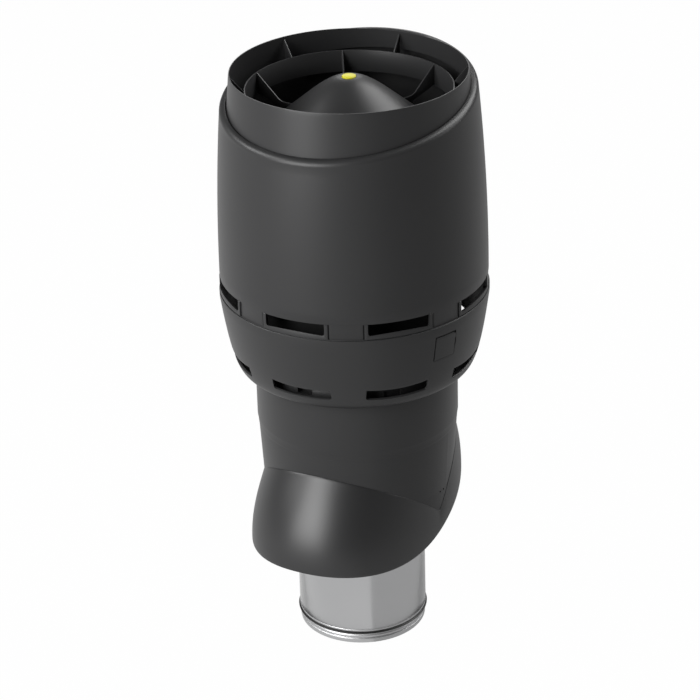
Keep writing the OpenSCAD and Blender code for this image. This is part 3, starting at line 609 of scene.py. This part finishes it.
def bowl_body(name):
    """The bowl before any hole is cut."""
    shoulder_z = band_low - straight
    middle = bowl_low_r + (bowl_r - bowl_low_r) / 2
    pull_z = bowl_low + pull_rise
    seam_r, seam_z = band_r - band_seam, band_low - band_seam
    band_in = band_r - band_wall
    inner_foot = (bowl_low_r - bowl_wall, bowl_low + bowl_floor)
    return turned(
        name,
        arc((bowl_low_r - 0.0006, bowl_low + foot_round), foot_round, -90, -35, 3)
        + bend((bowl_low_r + 0.0001, bowl_low + 0.0004), (middle, pull_z), (bowl_r, shoulder_z), 28)[1:]
        + [(bowl_r, seam_z - 0.0005), (bowl_r - 0.0005, seam_z), (seam_r, seam_z)]
        + [(seam_r, band_low), (band_r - edge_round, band_low), (band_r, band_low + edge_round)]
        + [(band_r, bowl_top - edge_round), (band_r - edge_round, bowl_top)]
        + [(band_in, bowl_top), (band_in, band_low - 0.002)]
        + bend((bowl_r - bowl_wall, shoulder_z), (middle - bowl_wall, pull_z), inner_foot, 20)
        + [(well_r + well_wall, bowl_low + bowl_floor), (well_r + well_wall, well_top), (well_r, well_top)]
        + [(well_r, bowl_low + bead_rise), (neck_hole, bowl_low)],
        360,
    )


bowl = bowl_body("bowl")
upper_size = (upper_slot[0], slot_rise)
sill = bowl_top - upper_slot[1] - slot_slope * (band_r - upper_slot_in)
foot = lower_slot_z + slot_slope * (lower_slot_r - lower_slot_in)
latch_in = bowl_r - latch_depth
latch_window = (latch_w + latch_gap + latch_play, latch_h + latch_gap + latch_play)
latch_side = latch_turn - math.degrees((latch_gap - latch_play) / 2 / bowl_r)
thumb_turn = latch_turn + math.degrees((latch_w / 2 + latch_play) / (bowl_r - 0.002))
combine(bowl, window(upper_slot_in, cut_out, sill, upper_size, slot_round, slot_turns, slot_slope))
combine(bowl, window(lower_slot_in, cut_out, foot, lower_slot, slot_round, slot_turns, -slot_slope))
combine(bowl, ring_sector(pocket_r, cut_out, band_low, bowl_top + 0.002, pocket_deg, tab_turns))
combine(bowl, ring_sector(drain_in, drain_out, *drain, slot_turns[1:]))
combine(bowl, ring_sector(drain_in, drain_out, *hatch))
combine(bowl, window(latch_in, cut_out, latch_low - latch_play, latch_window, sharp, [latch_side]))
combine(bowl, window(latch_in, cut_out, thumb_low, thumb, sharp, [thumb_turn]))
eased(bowl, 0.00035, 55)
finish(bowl, charcoal, "charcoal_plastic", "housing", "lower_bowl")


# Neck sleeve
# A moulded sleeve that carries the bowl on a bead and ends in a thin lip on the jacket's flare.
# Turned in one piece and cut by the bowl's hatch.
neck_in = 0.1503
neck_r = 0.1542
bead_r = 0.1597
lip_low = 0.3542
lip_r = 0.1525
neck_low = 0.358
hatch_in = 0.1515
neck = turned(
    "neck",
    [(lip_r - 0.00025, lip_low), (lip_r, lip_low)]
    + bend((lip_r + 0.0001, lip_low + 0.0003), (lip_r + 0.0006, lip_low + 0.008), (neck_r, lip_low + 0.014), 8)
    + [(neck_r, bowl_low), (bead_r, bowl_low + bead_rise), (bead_r, well_top)]
    + [(neck_in, well_top), (neck_in, neck_low)],
)
combine(neck, ring_sector(hatch_in, drain_out, *hatch))
finish(neck, charcoal, "charcoal_plastic", "housing", "neck_sleeve")


# Latch button
# The piece of the bowl's wall that fills the window, with a notch in its upper corner.
# It is moulded on a stem that slides in a bracket behind it.
latch_pull = 0.025
stem_r = 0.005
stem_in = 0.173
stem_run = 0.0238
head_r = stem_r + 0.003
head_run = 0.003
latch = bowl_body("latch")
half = latch_w / 2
face = [
    (-half, 0), (half, 0), (half, latch_h - latch_notch), (half - latch_notch, latch_h - latch_notch),
    (half - latch_notch, latch_h), (-half, latch_h),
]
block = cutter([(latch_in, y, latch_low + z) for y, z in face], [latch_turn], depth=latch_pull)
combine(latch, block, "INTERSECT")
eased(latch, 0.0004, 55)
latch_out = Vector((math.cos(math.radians(latch_turn)), math.sin(math.radians(latch_turn)), 0))
for radius, length in ((stem_r, stem_run), (head_r, head_run)):
    bpy.ops.mesh.primitive_cylinder_add(
        vertices=64, radius=radius, depth=length,
        location=latch_out * (stem_in + length / 2) + Vector((0, 0, latch_low + latch_h / 2)),
        rotation=(0, math.pi / 2, math.radians(latch_turn)),
    )
    eased(bpy.context.object, 0.0003)
    latch.select_set(True)
    bpy.context.view_layer.objects.active = latch
    bpy.ops.object.join()
finish(latch, charcoal, "charcoal_plastic", "latch", "latch_button")


# Outlet collar
# A thin turned ring inside the hood, with a rounded rim and a slanted step in its inner face.
# It reaches down behind the hood's lip and is cut off parallel to that lip.
rim_r = 0.1751
rim_z = 0.9192
collar_wall = 0.0016
collar_taper = 0.095
collar_low = 0.8
rim_round = 0.0045
step_depth = 0.0008
step_drop = 0.011
collar_tuck = 0.030
rim_edge = 0.0003


def collar_at(z):
    """Outer radius of the collar at a height."""
    return rim_r + collar_taper * (rim_z - z)


round_z = rim_z - rim_round
inner_z = rim_z - 0.02
collar = turned(
    "collar",
    [(collar_at(collar_low), collar_low), (collar_at(round_z - 0.004), round_z - 0.004)]
    + bend((collar_at(round_z), round_z), (rim_r, rim_z - 0.001), (rim_r - 0.0002, rim_z - rim_edge), 5)
    + [(rim_r - 0.0004, rim_z), (rim_r - collar_wall + 0.0002, rim_z), (rim_r - collar_wall, rim_z - rim_edge)]
    + [(collar_at(inner_z) - collar_wall, inner_z), (collar_at(collar_low) - collar_wall, collar_low)],
    columns=256,
)
bpy.ops.object.mode_set(mode="EDIT")
bpy.ops.mesh.select_all(action="SELECT")
bpy.ops.mesh.bisect(plane_co=edge_point(0, collar_tuck), plane_no=slant, clear_inner=True, use_fill=True)
bpy.ops.mesh.select_all(action="SELECT")
bpy.ops.mesh.bisect(plane_co=edge_point(0, step_drop), plane_no=slant)
bpy.ops.mesh.select_mode(type="FACE")
bpy.ops.mesh.select_all(action="DESELECT")
shape = bmesh.from_edit_mesh(collar.data)
for face in shape.faces:
    middle = face.calc_center_median()
    inward = face.normal.x * middle.x + face.normal.y * middle.y < -0.5 * math.hypot(middle.x, middle.y)
    face.select_set(inward and (middle - edge_point(0, step_drop)).dot(slant) < 0)
bmesh.update_edit_mesh(collar.data)
bpy.ops.mesh.extrude_region_shrink_fatten(TRANSFORM_OT_shrink_fatten={"value": step_depth})
bpy.ops.object.mode_set(mode="OBJECT")
finish(collar, charcoal, "charcoal_plastic", "housing", "outlet_collar")


# Diffuser ring and ribs
# A free ring between the collar and the cone, on six plate ribs outside and six inside.
# The inner ribs dip in a curve to the cone's foot.
ring_r = 0.1536
ring_top = 0.8926
ring_low = 0.8586
ring_wall = 0.002
ring_step = 0.016
rib_t = 0.002
rib_out = rim_r - 0.0024
rib_top = 0.9152
rib_low = 0.8666
cone_r = 0.101
cone_low = 0.8532
hub = cone_r + 0.0003
rib_foot = 0.852
dip_start = (0.118, 0.8578)
dip_pull_r = 0.1126
dip_end_r = 0.1013
tuck_r = 0.0953
tuck_end = (0.1004, 0.8478)
ring_in = ring_r - ring_wall

ring = turned(
    "ring",
    [(ring_r, ring_low), (ring_r, ring_low + ring_step), (ring_r, ring_top)]
    + [(ring_in, ring_top), (ring_in, ring_low + ring_step), (ring_in, ring_low)],
)
eased(ring, 0.0002)
finish(ring, charcoal, "charcoal_plastic", "housing", "diffuser_ring")


def ribs(name, outline, first, node):
    """Six upright plates: a filled circle whose points go to the outline, thickened and turned into place."""
    plates = []
    for i in range(6):
        bpy.ops.mesh.primitive_circle_add(vertices=len(outline), fill_type="NGON")
        plate = bpy.context.object
        for vertex, (r, z) in zip(plate.data.vertices, outline):
            vertex.co = (r, 0, z)
        applied(plate, "SOLIDIFY", thickness=rib_t, offset=0)
        eased(plate, 0.0002, 60)
        plate.rotation_euler.z = math.radians(first + 60 * i)
        plates.append(plate)
    for plate in plates:
        plate.select_set(True)
    bpy.context.view_layer.objects.active = plates[0]
    bpy.ops.object.join()
    plates[0].name = name
    finish(plates[0], charcoal, "charcoal_plastic", "housing", node)


ribs(
    "ribs_outside",
    [(ring_r, rib_low), (rib_out, rib_low), (rib_out, rib_top), (ring_r, ring_top)],
    -90, "outer_ribs",
)
ribs(
    "ribs_inside",
    [(hub, cone_low - 0.014), (ring_in, ring_low + 0.002), (ring_in, ring_top)]
    + bend(dip_start, (dip_pull_r, rib_foot), (dip_end_r, rib_foot), 8)
    + [(tuck_r, rib_foot), tuck_end],
    -60, "inner_ribs",
)


# Centre cone and its plug
# One turned shell with a soft crown, and a round plug of yellow plastic over its screw.
cone_top = 0.9082
plug_r = 0.0104
cone_wall = 0.0025
cone_skirt = 0.026
cone_edge = 0.8475
crown_pull_r = 0.029
side_top = (0.066, 0.8765)
cone_round = 0.0008
seat_z = cone_top - 0.004
well_z = cone_top - 0.009
screw_hole = 0.0035
cone_in = cone_r - cone_wall
cone_end = cone_low - cone_skirt
crown = bend((plug_r + 0.0008, cone_top), (crown_pull_r, cone_top - 0.0002), side_top, 26)
cone = turned(
    "cone",
    [(plug_r + 0.0003, seat_z)]
    + arc((plug_r + 0.0009, cone_top - 0.0006), 0.0006, 180, 90, 4)
    + crown[1:]
    + arc((cone_r - cone_round, cone_edge - 0.0004), cone_round, 50, 0, 3)
    + [(cone_r, cone_end), (cone_in, cone_end), (cone_in, cone_edge - 0.003)]
    + [(side_top[0], 0.873), (0.038, cone_top - 0.014), (plug_r + 0.002, well_z)]
    + [(screw_hole, well_z), (screw_hole, seat_z)],
)
finish(cone, charcoal, "charcoal_plastic", "housing", "centre_cone")

plug_round = 0.0008
plug_in = plug_r - 0.0015
plug = turned(
    "plug",
    [(plug_r, seat_z)]
    + arc((plug_r - plug_round, cone_top + 0.0009), plug_round, 0, 70, 4)
    + bend((plug_r - 0.0012, cone_top + 0.0018), (plug_r / 2, cone_top + 0.0027), (0, cone_top + 0.0028), 8)
    + [(0, cone_top - 0.0008), (plug_in, cone_top - 0.0008), (plug_in, seat_z)],
    96,
)
yellow = Surface("plug_yellow", (0.62, 0.58, 0.012), {"Specular IOR Level": 0.5})
yellow.colour(yellow.noise(120, 2), (0.46, 0.43, 0.008), (0.52, 0.48, 0.012))
yellow.roughness(0.34 + yellow.noise(200, 2) * 0.08)
finish(plug, yellow, "yellow_plastic", "housing", "cone_plug")


# Inner parts
# Screws of zinc-plated steel, a cast motor, ground shaft and bearings, a grey box and a pressed fan wheel.
def metal(name, low, high, grain, rough, spread, relief):
    """A metal with a grain of that fineness and a roughness that varies by a spread."""
    made = Surface(name, low, {"Metallic": 1.0})
    field = made.noise(grain, 3)
    made.colour(field, low, high)
    made.roughness(rough + field * spread)
    made.relief(made.noise(grain * 4, 2), relief)
    return made


paint(
    metal("zinc_plate", (0.5, 0.5, 0.47), (0.6, 0.59, 0.55), 150, 0.24, 0.12, 0.00001),
    "cone_screw", "cone_post", "housing_screws", "motor_screws", "lid_screws", "impeller_screws",
)
paint(
    metal("cast_skin", (0.45, 0.46, 0.47), (0.55, 0.56, 0.57), 260, 0.4, 0.14, 0.00006),
    "motor_stator", "motor_rotor",
)
paint(
    metal("ground_steel", (0.58, 0.58, 0.59), (0.64, 0.64, 0.65), 400, 0.1, 0.08, 0.000004),
    "motor_bearings", "motor_shaft",
)
paint(
    metal("pressed_sheet", (0.62, 0.63, 0.64), (0.69, 0.7, 0.71), 90, 0.24, 0.12, 0.00001),
    "impeller_back_plate", "impeller_blades", "impeller_shroud",
)
grey = Surface("box_grey", (0.17, 0.18, 0.19), {})
grey.colour(grey.noise(30, 2), (0.16, 0.17, 0.18), (0.19, 0.2, 0.21))
grey.roughness(0.48 + grey.noise(60, 2) * 0.08)
grey.relief(grey.noise(1200, 2), 0.00003)
paint(grey, "terminal_box", "terminal_lid")


# Floor and light
# A pale floor and a white surround. To gloss, the floor is brighter on one side of a line.
# The key lamp stands in front at the left, the others at the left, at the right and behind.
floor_gap = 0.001
floor_tone = 0.25
floor_gloss = 0.42
bright_gloss = 0.37
line_place = -0.0165
line_lean = 0.325
fill = 0.08
fill_gloss = 0.06
lamp_reach = 3.0
lamp_aim = Vector((0, 0, 0.6))

bpy.ops.mesh.primitive_plane_add(size=60, location=(0, 0, cad_box[0][2] - floor_gap))
floor = bpy.context.object
floor.name = "floor"
pale = Finish(bpy.data.materials.new("pale_floor"), "ShaderNodeOutputMaterial")
floor.data.materials.append(pale.owner)


def white_rays(tree, gloss):
    """1 for what is seen directly or through glass, less for gloss, and 0 for light on the object."""
    path = tree.node("ShaderNodeLightPath", {}, {}, "Is Camera Ray")
    outputs = path.socket.node.outputs
    shiny = path.math("MAXIMUM", path, gloss * Value(tree, outputs["Is Glossy Ray"]))
    return shiny.math("MAXIMUM", shiny, Value(tree, outputs["Is Transmission Ray"]))


place = pale.node("ShaderNodeTexCoord", {}, {}, "Object")
across = pale.node("ShaderNodeSeparateXYZ", {}, {"Vector": place}, "X")
along = Value(pale, across.socket.node.outputs["Y"])
right = Vector((math.cos(camera_turn), math.sin(camera_turn)))
ahead = Vector((-math.sin(camera_turn), math.cos(camera_turn)))
border = line_place - across * (line_lean * ahead.x + right.x) - along * (line_lean * ahead.y + right.y)
bright = border.math("GREATER_THAN", border, 0.0)
matt = pale.node("ShaderNodeBsdfDiffuse", {}, {"Color": (floor_tone, floor_tone, floor_tone, 1)}, "BSDF")
lit = pale.node("ShaderNodeEmission", {}, {"Color": (1, 1, 1, 1), "Strength": 1.0})
seen = white_rays(pale, floor_gloss + bright_gloss * bright)
mixed = pale.node("ShaderNodeMixShader", {}, {0: 0.99 * seen, 1: matt, 2: lit}, "Shader")
pale.feed(pale.output.inputs["Surface"], mixed)

world = bpy.data.worlds.new("surround")
bpy.context.scene.world = world
surround = Finish(world, "ShaderNodeOutputWorld")
light = fill + (1 - fill) * white_rays(surround, fill_gloss)
surround.feed(
    surround.output.inputs["Surface"],
    surround.node("ShaderNodeBackground", {}, {"Color": (1, 1, 1, 1), "Strength": light}, "Background"),
)


def lamp(name, azimuth, height, size, power, tall=1.0):
    """A soft lamp that looks at the bowl; its azimuth is 0 at the photograph's right and 90 behind."""
    turn = math.radians(azimuth) + camera_turn
    lift = math.radians(height)
    away = Vector((math.cos(turn) * math.cos(lift), math.sin(turn) * math.cos(lift), math.sin(lift)))
    place = lamp_aim + lamp_reach * away
    bpy.ops.object.light_add(type="AREA", location=place)
    made = bpy.context.object
    made.name = name
    made.data.shape = "RECTANGLE"
    made.data.size = size
    made.data.size_y = size * tall
    made.data.energy = power
    made.rotation_euler = (lamp_aim - place).to_track_quat("-Z", "Y").to_euler()


lamp("key_lamp", azimuth=-133, height=19, size=1.6, power=119, tall=1.4)
lamp("left_lamp", azimuth=180, height=35, size=1.3, power=57)
lamp("rear_lamp", azimuth=31, height=46, size=2.1, power=92)
lamp("right_lamp", azimuth=0, height=20, size=1.3, power=13)
lamp("edge_lamp", azimuth=90, height=28, size=1.2, power=11)

bpy.context.scene.view_settings.view_transform = "Standard"
bpy.context.view_layer.update()
